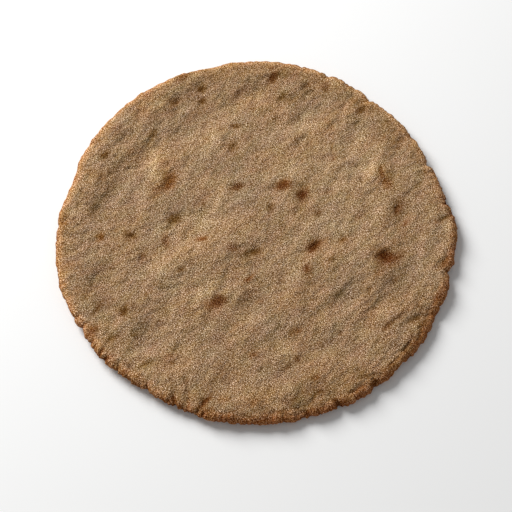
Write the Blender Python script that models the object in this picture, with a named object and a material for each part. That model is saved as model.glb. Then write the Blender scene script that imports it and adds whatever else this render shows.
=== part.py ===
"""A jowar roti: a thick round flatbread of sorghum flour, patted out by hand and baked on a griddle.

Metres, +Z up. The origin is on the face that the bread rests on, at the middle of its outline. The bread is
one solid: a patted upper face, a rounded and cracked rim, and a flat resting face under a lifted margin.
Places on the bread are written in millimetres from its middle, and azimuths in degrees from +X towards +Y.
"""

import math
from typing import NamedTuple

import bmesh
import bpy
from mathutils import Vector, noise

NAME = "roti"
MM = 0.001

# Driving dimensions, in millimetres.
MEAN_RADIUS = 99.0
THICKNESS = 5.3
RIM_DEPTH = 3.8
REST_RADIUS = 80.0
MARGIN_LIFT = 0.9
LIFT_SWING = 0.5
LIFT_SWING_AZIMUTH = 35.0
MARGIN_RIDGE = 0.75
RIDGE_INSET = 9.0
RIDGE_WIDTH = 9.0

# Unevenness that the hand leaves, as (height, size of one lump, level at which the pattern is cut).
PATTED_LUMPS = (0.28, 17.0, 0.0)
FINE_LUMPS = (0.16, 6.5, 40.0)
RIM_LUMPS = (0.42, 6.0, 80.0)

# How finely the faces are divided.
FACE_DIVISIONS = 54
RIM_STEPS = 6
UNDER_RING_SHARES = (0.96, 0.90)

CRUST_COLOUR = (0.314, 0.191, 0.100, 1.0)
CRUST_ROUGHNESS = 0.9


class Swell(NamedTuple):
    """A stretch of the outline that stands out past the round, or is flattened where `out` is negative."""

    azimuth: float
    half_angle: float
    out: float


class Ripple(NamedTuple):
    """A long soft wave from the palm: `slope` is how fast the face climbs across it, to the right of its heading."""

    x: float
    y: float
    heading: float
    length: float
    width: float
    slope: float


class Dimple(NamedTuple):
    """A shallow toasted hollow, longer along its heading."""

    x: float
    y: float
    heading: float
    length: float
    width: float
    depth: float


class Crack(NamedTuple):
    """A crack from the edge inwards, turned from the radius by `skew` degrees: `notch` is its bite in the outline."""

    azimuth: float
    reach: float
    skew: float
    width: float
    depth: float
    notch: float


SWELLS = (
    Swell(3, 9, 1.3),
    Swell(27, 13, -1.9),
    Swell(52, 9, -1.9),
    Swell(67, 5, 0.6),
    Swell(86, 12, 1.1),
    Swell(105, 5, -0.6),
    Swell(126, 16, 1.0),
    Swell(167, 8, -1.8),
    Swell(200, 15, 1.9),
    Swell(224, 6, 1.0),
    Swell(242, 6, -0.6),
    Swell(258, 7, 0.5),
    Swell(270, 4, 0.6),
    Swell(290, 7, -0.8),
    Swell(301, 4, 0.9),
    Swell(318, 5, -0.7),
    Swell(336, 6, -0.9),
    Swell(345, 3, 0.8),
)

RIPPLES = (
    Ripple(-49, -24, 65, 11, 7, 0.14),
    Ripple(-36, -12, 35, 13, 7, 0.14),
    Ripple(-20, -2, 50, 17, 7, 0.11),
    Ripple(-57, 24, 78, 18, 7, 0.16),
    Ripple(-40, 46, 35, 18, 7, 0.12),
    Ripple(-21, 62, 45, 13, 7, 0.10),
    Ripple(-78, 18, 70, 20, 8, -0.13),
    Ripple(-61, 43, 42, 18, 7, -0.14),
    Ripple(-44, 70, 60, 17, 8, -0.12),
    Ripple(-11, 81, 32, 18, 7, -0.13),
    Ripple(24, 62, 25, 18, 7, 0.09),
    Ripple(53, 52, 60, 13, 7, 0.12),
    Ripple(55, 37, 70, 8, 7, 0.18),
    Ripple(60, 14, 75, 14, 7, 0.12),
    Ripple(84, 2, 86, 28, 7, 0.08),
    Ripple(62, -42, 45, 18, 7, 0.16),
    Ripple(77, -40, 45, 10, 7, -0.15),
    Ripple(68, -53, 30, 8, 7, 0.11),
    Ripple(66, -26, 70, 13, 8, -0.08),
    Ripple(42, -43, 40, 13, 7, 0.11),
    Ripple(19, -27, 70, 13, 7, 0.11),
    Ripple(2, -46, 45, 13, 7, 0.10),
    Ripple(-12, -17, 32, 21, 7, -0.09),
    Ripple(-55, -50, 60, 15, 8, -0.12),
    Ripple(-45, -65, 25, 11, 8, 0.10),
    Ripple(-30, -74, 50, 11, 7, 0.09),
    Ripple(-13, -75, 55, 15, 7, -0.09),
    Ripple(-7, -87, 10, 13, 7, 0.11),
    Ripple(28, -74, 40, 18, 7, 0.11),
    Ripple(-78, -33, 40, 13, 8, -0.09),
)

DIMPLES = (
    Dimple(-46, 25, 70, 6.0, 4.0, 0.50),
    Dimple(12, 26, 20, 4.5, 3.5, 0.35),
    Dimple(21.5, 21, 65, 5.0, 4.0, 0.50),
    Dimple(-11, 23.5, 25, 4.5, 3.0, 0.30),
    Dimple(28, -7, 40, 5.0, 3.2, 0.50),
    Dimple(63, -10, 10, 6.0, 4.5, 0.60),
    Dimple(-17, -40, 30, 5.0, 4.0, 0.50),
    Dimple(-42, 4.5, 20, 5.0, 3.5, 0.40),
    Dimple(-63, -6.5, 10, 4.0, 3.2, 0.35),
    Dimple(-1, -12, 20, 6.0, 3.5, 0.45),
    Dimple(69.5, 16, 72, 5.5, 3.5, 0.40),
    Dimple(63, 31, 110, 5.0, 4.0, 0.45),
    Dimple(-15, 46.5, 75, 4.5, 3.5, 0.35),
    Dimple(-46.5, 71, 60, 5.0, 4.0, 0.40),
    Dimple(-33, 77, 80, 5.5, 3.5, 0.35),
    Dimple(4, 89, 50, 4.5, 3.8, 0.45),
    Dimple(51, 71, 60, 4.5, 3.8, 0.35),
    Dimple(-62, -47, 70, 4.0, 3.5, 0.35),
    Dimple(65, -47, 30, 5.0, 3.0, 0.45),
)

CRACKS = (
    Crack(12.5, 6, 10, 2.4, 1.0, 0.4),
    Crack(30, 5, 0, 2.4, 0.8, 0.3),
    Crack(54.5, 11, -20, 2.6, 1.0, 0.5),
    Crack(215, 8, 15, 2.8, 1.4, 1.0),
    Crack(226, 6, -10, 2.4, 1.0, 0.4),
    Crack(241, 7, 20, 2.4, 1.3, 0.6),
    Crack(250, 8, 25, 2.6, 1.5, 0.5),
    Crack(254, 24, 22, 2.6, 1.3, 0.3),
    Crack(288, 22, 48, 2.8, 1.2, 0.2),
    Crack(296.5, 8, 20, 2.6, 1.5, 0.9),
    Crack(308, 6, -15, 2.4, 1.2, 0.3),
    Crack(321.5, 7, 10, 2.4, 1.1, 0.3),
    Crack(335, 26, 52, 3.4, 1.5, 0.2),
    Crack(350, 6, -10, 3.6, 1.4, 1.9),
)


def smooth_step(share):
    """Eases from 0 to 1 as share goes from 0 to 1."""
    share = min(max(share, 0.0), 1.0)
    return share * share * (3.0 - 2.0 * share)


def bell(distance):
    """1 in the middle, falling away smoothly to nothing at about twice the unit distance."""
    return math.exp(-distance * distance)


def lumps(x, y, z, unevenness):
    """Smooth unevenness: its height, the size of one lump, and the level that tells it from the others."""
    height, size, level = unevenness
    return height * noise.noise(Vector((x, y, z + level)) / size)


def turned(x, y, heading):
    """(along, right): x and y seen along a heading, with the second counted to the heading's right."""
    angle = math.radians(heading)
    along = x * math.cos(angle) + y * math.sin(angle)
    right = x * math.sin(angle) - y * math.cos(angle)
    return along, right


def angle_between(a, b):
    """How far azimuth a is past azimuth b, from -180 to 180 degrees."""
    return (a - b + 180.0) % 360.0 - 180.0


def outline_radius(azimuth):
    """The bread's radius at an azimuth: the round, its swells and flats, and the notch that each crack leaves."""
    radius = MEAN_RADIUS
    for swell in SWELLS:
        radius += swell.out * bell(angle_between(azimuth, swell.azimuth) / swell.half_angle)
    for crack in CRACKS:
        off = math.radians(angle_between(azimuth, crack.azimuth)) * MEAN_RADIUS
        radius -= crack.notch * bell(off / crack.width)
    return radius


def margin_lift(x, y):
    """How far the underside has curled up off the griddle, which it does only outside the resting face."""
    radius = math.hypot(x, y)
    azimuth = math.degrees(math.atan2(y, x))
    swing = math.cos(math.radians(2.0 * angle_between(azimuth, LIFT_SWING_AZIMUTH)))
    edge = MARGIN_LIFT + LIFT_SWING * swing
    return edge * smooth_step((radius - REST_RADIUS) / (MEAN_RADIUS - REST_RADIUS))


def ripple_height(x, y, ripple):
    """A wave that climbs through its middle line and levels off on both sides."""
    along, right = turned(x - ripple.x, y - ripple.y, ripple.heading)
    return ripple.slope * right * bell(math.hypot(along / ripple.length, right / ripple.width))


def dimple_depth(x, y, dimple):
    """A rounded hollow."""
    along, right = turned(x - dimple.x, y - dimple.y, dimple.heading)
    return dimple.depth * bell(math.hypot(along / dimple.length, right / dimple.width))


def crack_depth(x, y, crack):
    """A groove that is deepest at the edge and closes where the crack ends."""
    azimuth = math.radians(crack.azimuth)
    inwards = crack.azimuth + 180.0 + crack.skew
    from_x = x - MEAN_RADIUS * math.cos(azimuth)
    from_y = y - MEAN_RADIUS * math.sin(azimuth)
    along, right = turned(from_x, from_y, inwards)
    open_share = 1.0 - smooth_step(along / crack.reach)
    return crack.depth * open_share * bell(right / crack.width)


def upper_face(x, y):
    """The height of the upper face over the resting plane, short of the rim's rounding."""
    azimuth = math.degrees(math.atan2(y, x))
    inset = outline_radius(azimuth) - math.hypot(x, y)
    height = THICKNESS + margin_lift(x, y)
    height += MARGIN_RIDGE * bell((inset - RIDGE_INSET) / RIDGE_WIDTH)
    height += lumps(x, y, 0.0, PATTED_LUMPS) + lumps(x, y, 0.0, FINE_LUMPS)
    height += sum(ripple_height(x, y, ripple) for ripple in RIPPLES)
    height -= sum(dimple_depth(x, y, dimple) for dimple in DIMPLES)
    height -= sum(crack_depth(x, y, crack) for crack in CRACKS)
    return height


def rim_point(azimuth, tilt):
    """A point of the rim: tilt is 90 degrees where it meets the upper face, 0 at its widest and -90 underneath."""
    angle, turn = math.radians(azimuth), math.radians(tilt)
    shoulder = outline_radius(azimuth) - RIM_DEPTH
    x, y = shoulder * math.cos(angle), shoulder * math.sin(angle)
    top, under = upper_face(x, y), margin_lift(x, y)
    height = (top + under) / 2.0 + (top - under) / 2.0 * math.sin(turn)
    out = (RIM_DEPTH + lumps(x, y, 2.0 * height, RIM_LUMPS)) * math.cos(turn)
    return (x + out * math.cos(angle), y + out * math.sin(angle), height)


def add_upper_face(mesh):
    """Lays a square grid of quads and spreads it over the round of the upper face."""
    bmesh.ops.create_grid(mesh, x_segments=FACE_DIVISIONS, y_segments=FACE_DIVISIONS, size=1.0)
    for vertex in mesh.verts:
        u, v = vertex.co.x, vertex.co.y
        across = u * math.sqrt(1.0 - v * v / 2.0)
        away = v * math.sqrt(1.0 - u * u / 2.0)
        azimuth = math.atan2(away, across)
        reach = math.hypot(across, away) * (outline_radius(math.degrees(azimuth)) - RIM_DEPTH)
        x, y = reach * math.cos(azimuth), reach * math.sin(azimuth)
        vertex.co = (x, y, upper_face(x, y))


def add_ring(mesh, place):
    """Draws the mesh's open edge out to a new ring, each point of which goes to place(azimuth)."""
    open_edges = [edge for edge in mesh.edges if edge.is_boundary]
    drawn = bmesh.ops.extrude_edge_only(mesh, edges=open_edges)["geom"]
    for vertex in (item for item in drawn if isinstance(item, bmesh.types.BMVert)):
        vertex.co = place(math.degrees(math.atan2(vertex.co.y, vertex.co.x)))


def add_rim(mesh):
    """Rolls the rim down from the upper face's edge to the underside."""
    for step in range(1, RIM_STEPS + 1):
        tilt = 90.0 - 180.0 * step / RIM_STEPS
        add_ring(mesh, lambda azimuth, tilt=tilt: rim_point(azimuth, tilt))


def under_point(azimuth, share):
    """A point of the underside's margin, at a share of the radius of the rim's inner edge."""
    angle = math.radians(azimuth)
    radius = share * (outline_radius(azimuth) - RIM_DEPTH)
    x, y = radius * math.cos(angle), radius * math.sin(angle)
    return (x, y, margin_lift(x, y))


def rest_point(azimuth):
    """A point of the flat resting face's round edge."""
    angle = math.radians(azimuth)
    return (REST_RADIUS * math.cos(angle), REST_RADIUS * math.sin(angle), 0.0)


def add_underside(mesh):
    """Brings the underside in over its lifted margin and closes it with the flat resting face."""
    for share in UNDER_RING_SHARES:
        add_ring(mesh, lambda azimuth, share=share: under_point(azimuth, share))
    add_ring(mesh, rest_point)
    open_edges = [edge for edge in mesh.edges if edge.is_boundary]
    rest = bmesh.ops.edgenet_fill(mesh, edges=open_edges)["faces"]
    bmesh.ops.poke(mesh, faces=rest)


def centre_outline(mesh):
    """Moves the bread sideways until its outline's bounds are centred on the origin."""
    for axis in (0, 1):
        places = [vertex.co[axis] for vertex in mesh.verts]
        middle = (min(places) + max(places)) / 2.0
        for vertex in mesh.verts:
            vertex.co[axis] -= middle


def crust_material():
    """The plain greyish tan of baked sorghum dough."""
    material = bpy.data.materials.new("jowar_crust")
    material.use_nodes = True
    shader = material.node_tree.nodes["Principled BSDF"]
    shader.inputs["Base Color"].default_value = CRUST_COLOUR
    shader.inputs["Roughness"].default_value = CRUST_ROUGHNESS
    shader.inputs["Metallic"].default_value = 0.0
    material.diffuse_color = CRUST_COLOUR
    return material


def build_roti():
    """The roti as one closed body, in a collection of its own."""
    shape = bmesh.new()
    add_upper_face(shape)
    add_rim(shape)
    add_underside(shape)
    centre_outline(shape)
    bmesh.ops.recalc_face_normals(shape, faces=shape.faces)
    bmesh.ops.scale(shape, vec=(MM, MM, MM), verts=shape.verts)
    mesh = bpy.data.meshes.new(NAME)
    shape.to_mesh(mesh)
    shape.free()
    mesh.shade_smooth()
    mesh.materials.append(crust_material())
    collection = bpy.data.collections.new("jowar_roti")
    bpy.context.scene.collection.children.link(collection)
    collection.objects.link(bpy.data.objects.new(NAME, mesh))


def clear_scene():
    """Removes whatever the scene starts with."""
    for item in list(bpy.data.objects):
        bpy.data.objects.remove(item, do_unlink=True)


clear_scene()
build_roti()
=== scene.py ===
"""The looks of a jowar roti: its patted and toasted crust, its crumbling rim and a plain pale studio.

The frame is in metres. The bread's own places are written in millimetres from its middle, as a maker would
measure them, and azimuths and headings in degrees from +X towards +Y.
"""

from __future__ import annotations

import logging
import math
import random
from dataclasses import dataclass
from enum import Enum

import bmesh
import bpy
import numpy as np
from mathutils import Matrix, Vector, noise


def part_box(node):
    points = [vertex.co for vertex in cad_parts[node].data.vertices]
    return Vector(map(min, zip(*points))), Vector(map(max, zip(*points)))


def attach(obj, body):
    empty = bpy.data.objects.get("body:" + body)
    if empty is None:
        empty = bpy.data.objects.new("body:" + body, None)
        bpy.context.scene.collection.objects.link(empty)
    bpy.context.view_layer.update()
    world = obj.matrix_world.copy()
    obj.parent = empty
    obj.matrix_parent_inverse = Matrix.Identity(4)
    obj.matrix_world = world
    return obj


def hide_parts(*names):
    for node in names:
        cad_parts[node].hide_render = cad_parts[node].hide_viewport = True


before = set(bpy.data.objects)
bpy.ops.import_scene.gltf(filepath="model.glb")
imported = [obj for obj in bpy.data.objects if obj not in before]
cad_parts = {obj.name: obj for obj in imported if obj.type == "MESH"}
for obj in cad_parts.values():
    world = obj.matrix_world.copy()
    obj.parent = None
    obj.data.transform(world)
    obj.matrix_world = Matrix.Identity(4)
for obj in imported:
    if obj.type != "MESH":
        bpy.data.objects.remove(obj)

LOG = logging.getLogger("jowar_roti")
MM = 0.001
HAIR = 1e-6
NODE = "roti"
EYE_GAMMA = 2.2

Array = np.ndarray
Mesh = bpy.types.Mesh
Socket = bpy.types.NodeSocket
Span = tuple[float, float]
Triple = tuple[float, float, float]
Colour = tuple[int, int, int]


# ---------- small maths


def bell(distance: Array) -> Array:
    """1 in the middle, falling away smoothly to nothing at about twice the unit distance."""
    return np.exp(-np.square(distance))


def smooth_step(share: Array) -> Array:
    """Eases from 0 to 1 as share goes from 0 to 1."""
    share = np.clip(share, 0.0, 1.0)
    return share * share * (3.0 - 2.0 * share)


def between(span: Span, share: float) -> float:
    """The value at a share of the way along a span."""
    return span[0] + (span[1] - span[0]) * share


def turned(x: Array, y: Array, heading: float) -> tuple[Array, Array]:
    """How far each place lies along a heading, and how far to its right."""
    angle = math.radians(heading)
    along = x * math.cos(angle) + y * math.sin(angle)
    right = x * math.sin(angle) - y * math.cos(angle)
    return along, right


def azimuth_of(x: Array, y: Array) -> Array:
    """The direction of each place from the middle."""
    return np.degrees(np.arctan2(y, x))


def angle_between(a: Array, b: float) -> Array:
    """How far azimuth a is past azimuth b, from -180 to 180 degrees."""
    return (a - b + 180.0) % 360.0 - 180.0


def facing(a: Array, b: float) -> Array:
    """1 where azimuth a is azimuth b, 0 square to it and -1 across from it."""
    return np.cos(np.radians(angle_between(a, b)))


# ---------- marks of the hand


@dataclass(frozen=True)
class Lumps:
    """Smooth unevenness, which may be drawn out along a heading.

    Attributes:
        height: How high and low it goes, in millimetres.
        size: About one lump, in millimetres.
        level: Tells this pattern from the others.
        stretch: How many times longer a lump is along the heading.
        heading: The direction that lumps are drawn out in.
    """

    height: float
    size: float
    level: float
    stretch: float = 1.0
    heading: float = 0.0

    def at(self, x: Array, y: Array, z: Array) -> Array:
        """The height of the unevenness at each place."""
        along, right = (x, y) if self.stretch == 1.0 else turned(x, y, self.heading)
        places = np.column_stack((along / self.stretch, right, z + self.level)) / self.size
        return self.height * np.fromiter(map(noise.noise, places), float, len(places))


def piled(patterns: tuple[Lumps, ...], x: Array, y: Array, z: Array) -> Array:
    """The height of several patterns of unevenness together."""
    return sum(pattern.at(x, y, z) for pattern in patterns)


@dataclass(frozen=True)
class Stretch:
    """A stretch of the edge that has more of something, or less of it where `amount` is negative."""

    azimuth: float
    half_angle: float
    amount: float

    def at(self, azimuth: Array) -> Array:
        """How much more there is at each azimuth."""
        return self.amount * bell(angle_between(azimuth, self.azimuth) / self.half_angle)


@dataclass(frozen=True)
class Oval:
    """An oval on the bread, longer along its heading.

    Attributes:
        x, y: Its middle, in millimetres.
        heading: The direction of its longer side.
        length, width: How far it reaches each way from its middle, in millimetres.
    """

    x: float
    y: float
    heading: float
    length: float
    width: float

    def off(self, x: Array, y: Array) -> Array:
        """How far each place lies from the oval's middle, where 1 is its edge."""
        along, right = turned(x - self.x, y - self.y, self.heading)
        return np.hypot(along / self.length, right / self.width)


@dataclass(frozen=True)
class Ripple(Oval):
    """A long soft wave from the palm: the face climbs to the right of its heading, at `slope` percent."""

    slope: float

    def height(self, x: Array, y: Array) -> Array:
        """The wave's height at each place."""
        right = turned(x - self.x, y - self.y, self.heading)[1]
        return self.slope / 100.0 * right * bell(self.off(x, y))


@dataclass(frozen=True)
class Hollow(Oval):
    """A shallow hollow of the bread's form, `depth` millimetres deep, that a blister or a finger left."""

    depth: float

    def sunk(self, x: Array, y: Array) -> Array:
        """How deep the hollow is at each place."""
        return self.depth * bell(self.off(x, y))


class Tint(Enum):
    """What a mark does to the crust's colour, by the name of the painted value that carries it."""

    BURNT = "tint_burnt"
    RUST = "tint_rust"
    OLIVE = "tint_olive"
    # Painted shade of shaded slopes, valleys and soft folds, over a grey tone.
    GREY_AND_SHADE = "tint_grey_and_shade"
    OCHRE = "tint_ochre"
    BLUSH = "tint_blush"
    # A pale flour tone, with painted highlight on the lit slopes of ridges.
    CREAM_AND_HIGHLIGHT = "tint_cream_and_highlight"
    ASH = "tint_ash"


@dataclass(frozen=True)
class Mark(Oval):
    """A toasted spot, a crease, a tinged patch, or a patch of painted shade or painted highlight.

    Attributes:
        strength: How far the crust has taken its tint, from 0 to 1.
        tint: Its colour.
        depth: How deep its hollow is, in millimetres.
    """

    strength: float
    tint: Tint
    depth: float = 0.0


# How many times further in than its sides a crack's split runs, and how far outside the edge it starts.
SPLIT_REACH, SPLIT_START = 1.15, 4.0


@dataclass(frozen=True)
class Crack:
    """A crack from the edge inwards.

    Attributes:
        azimuth: Where it starts.
        reach: How far in it runs, in millimetres.
        skew: How far it is turned from the radius, in degrees.
        width: Half the width of its sunken sides, in millimetres.
        depth: How far its sides sink at the edge, in millimetres.
        notch: Its bite in the outline, in millimetres.
    """

    azimuth: float
    reach: float
    skew: float
    width: float
    depth: float
    notch: float = 0.0

    def seen(self, x: Array, y: Array, radius: float) -> tuple[Array, Array]:
        """How far each place lies along the crack from the edge, and to the right of it."""
        angle = math.radians(self.azimuth)
        x, y = x - radius * math.cos(angle), y - radius * math.sin(angle)
        return turned(x, y, self.azimuth + 180.0 + self.skew)

    def sunk(self, x: Array, y: Array, radius: float) -> Array:
        """How far the crack's sides have sunk at each place."""
        along, right = self.seen(x, y, radius)
        return self.depth * (1.0 - smooth_step(along / self.reach)) * bell(right / self.width)

    def split(self, x: Array, y: Array, radius: float, width: float, sway: Array) -> Array:
        """How much of the narrow, swaying split in the crack's middle there is at each place."""
        along, right = self.seen(x, y, radius)
        closing = smooth_step(along / (SPLIT_REACH * self.reach))
        return (1.0 - closing) * smooth_step(1.0 + along / SPLIT_START) * bell((right + sway) / width)


def marks(tint: Tint, *rows: tuple[float, ...]) -> tuple[Mark, ...]:
    """Marks of one tint.

    Args:
        tint: Their tint.
        rows: Each one's x, y, heading, length, width, strength in percent and, if it is sunk, its depth.

    Returns:
        The marks.
    """
    return tuple(Mark(*row[:5], row[5] / 100.0, tint, *row[6:]) for row in rows)


def each(kind: type, *rows: tuple[float, ...]) -> tuple:
    """One object of a kind for each row of its values."""
    return tuple(kind(*row) for row in rows)


# The outline's swells and flats: azimuth, half angle, and how far it stands out past the round.
SWELLS = each(
    Stretch,
    (4, 9, 1.4), (26, 13, -2.1), (52, 9, -1.2), (67, 5, 0.6), (86, 12, 1.1), (105, 5, -0.3),
    (126, 16, 0.8), (167, 8, -2.1), (202, 14, 1.7), (226, 6, 1.4), (242, 6, -0.6), (258, 7, 0.5),
    (270, 4, 0.2), (290, 6, -0.3), (301, 4, 0.5), (318, 5, -0.7), (336, 6, -0.9), (345, 3, 0.5),
)

# The palm's ripples: x, y, heading, length, width and slope.
RIPPLES = each(
    Ripple,
    (-48, -23, 60, 12, 7, 21), (-36, -11, 35, 13, 9, 17), (-21, -1, 50, 17, 11, 22),
    (-44, -2, 35, 11, 6, 10), (-19, -14, 60, 8, 5, 12), (-57, 24, 78, 18, 7, 16),
    (-40, 46, 35, 18, 7, 12), (-21, 62, 45, 13, 7, 10), (-78, 18, 70, 20, 8, -15),
    (-61, 43, 42, 18, 7, -16), (-72, 49, 50, 9, 6, -14), (-37, 62, 40, 7, 5, -10),
    (-24, 48, 45, 9, 6, 10), (-44, 70, 60, 17, 8, -14), (-11, 81, 32, 18, 7, -13),
    (24, 63, 25, 19, 7, 15), (15, 56, 38, 11, 6, 8), (53, 52, 60, 13, 7, 15), (55, 37, 70, 8, 7, 18),
    (60, 14, 75, 14, 7, 15), (84, 4, 75, 14, 4, 12), (84, -16, 60, 9, 4, 12), (63, -42, 46, 19, 7, 20),
    (77, -40, 45, 10, 7, -8), (69, -52, 30, 8, 6, 15), (52, -64, 35, 9, 6, 12), (62, -25, 60, 13, 8, -9),
    (52, -9, 45, 10, 6, 10), (41, -43, 40, 13, 7, 15), (46, -29, 50, 9, 6, -15), (19, -27, 65, 14, 7, 19),
    (21, 14, 40, 10, 5, -9), (0, -48, 45, 13, 7, 9), (-3, -35, 40, 8, 5, -11), (-11, -16, 32, 20, 7, -7),
    (-51, -53, 58, 15, 9, -13), (-45, -65, 25, 11, 8, 13), (-37, -46, 50, 8, 6, 11),
    (-31, -73, 50, 11, 7, 13), (-13, -75, 55, 15, 7, -9), (-8, -86, 10, 13, 7, 17),
    (27, -70, 40, 18, 7, 15), (31, -79, 40, 7, 4, -11), (21, -52, 20, 6, 4, -10), (16, -62, 30, 7, 5, 12),
    (-78, -30, 40, 13, 8, -15), (60, 45, 75, 8, 5, 12), (86, 36, 60, 8, 5, 12), (-16, 81, 30, 7, 5, 12),
    (-40, 73, 60, 8, 5, 10), (86, -6, 80, 12, 4, -12), (-77, -44, 50, 8, 5, -11),
)

# The large cracks: azimuth, reach, skew, width, depth and notch.
CRACKS = each(
    Crack,
    (12.5, 6, 10, 2.4, 1, 0.4), (26.5, 5, 0, 2, 0.8, 0.7), (36.5, 5, -10, 2, 0.7, 0.5),
    (45, 4, 10, 1.8, 0.6, 0.4), (54.5, 11, -20, 2.4, 1, 0.8), (62.5, 4, 5, 1.8, 0.5, 0.4),
    (70, 5, -10, 1.8, 0.6, 0.6), (215, 5, 15, 2.2, 0.8, 1), (226, 4, -10, 2, 0.7, 0.4),
    (241, 6, 20, 2.2, 1.1, 0.6), (250, 8, 25, 2.6, 1.5, 0.5), (254, 24, 22, 2.6, 1.3, 0.3),
    (288, 22, 48, 2.8, 1.2, 0.2), (296.5, 8, 20, 2.6, 1.3, 0.5), (308, 6, -15, 2.4, 1.2, 0.3),
    (321.5, 7, 10, 2.4, 1.1, 0.3), (337.5, 24, 46, 3, 0.7, 0.2), (350, 6, -10, 3.6, 0.9, 1.3),
)

# The form's hollows: x, y, heading, length, width and depth.
HOLLOWS = each(
    Hollow,
    (-46, 25, 70, 6, 4, 0.5), (12, 26, 20, 4.5, 3.5, 0.35), (21.5, 21, 65, 5, 4, 0.5),
    (-11, 23.5, 25, 4.5, 3, 0.3), (28, -7, 40, 5, 3.2, 0.5), (63, -10, 10, 6, 4.5, 0.6),
    (-17, -40, 30, 5, 4, 0.5), (-42, 4.5, 20, 5, 3.5, 0.4), (-63, -6.5, 10, 4, 3.2, 0.35),
    (-1, -12, 20, 5, 3, 0.28), (69.5, 16, 72, 5.5, 3.5, 0.4), (63, 31, 110, 5, 4, 0.45),
    (-15, 46.5, 75, 4.5, 3.5, 0.35), (-46.5, 71, 60, 4.5, 3.5, 0.25), (-33, 77, 80, 5.5, 3.5, 0.35),
    (4, 89, 50, 4.5, 3.8, 0.45), (51, 71, 60, 4.5, 3.8, 0.35), (-62, -47, 70, 4, 3.5, 0.35),
    (65, -47, 30, 5, 3, 0.45),
)
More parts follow.
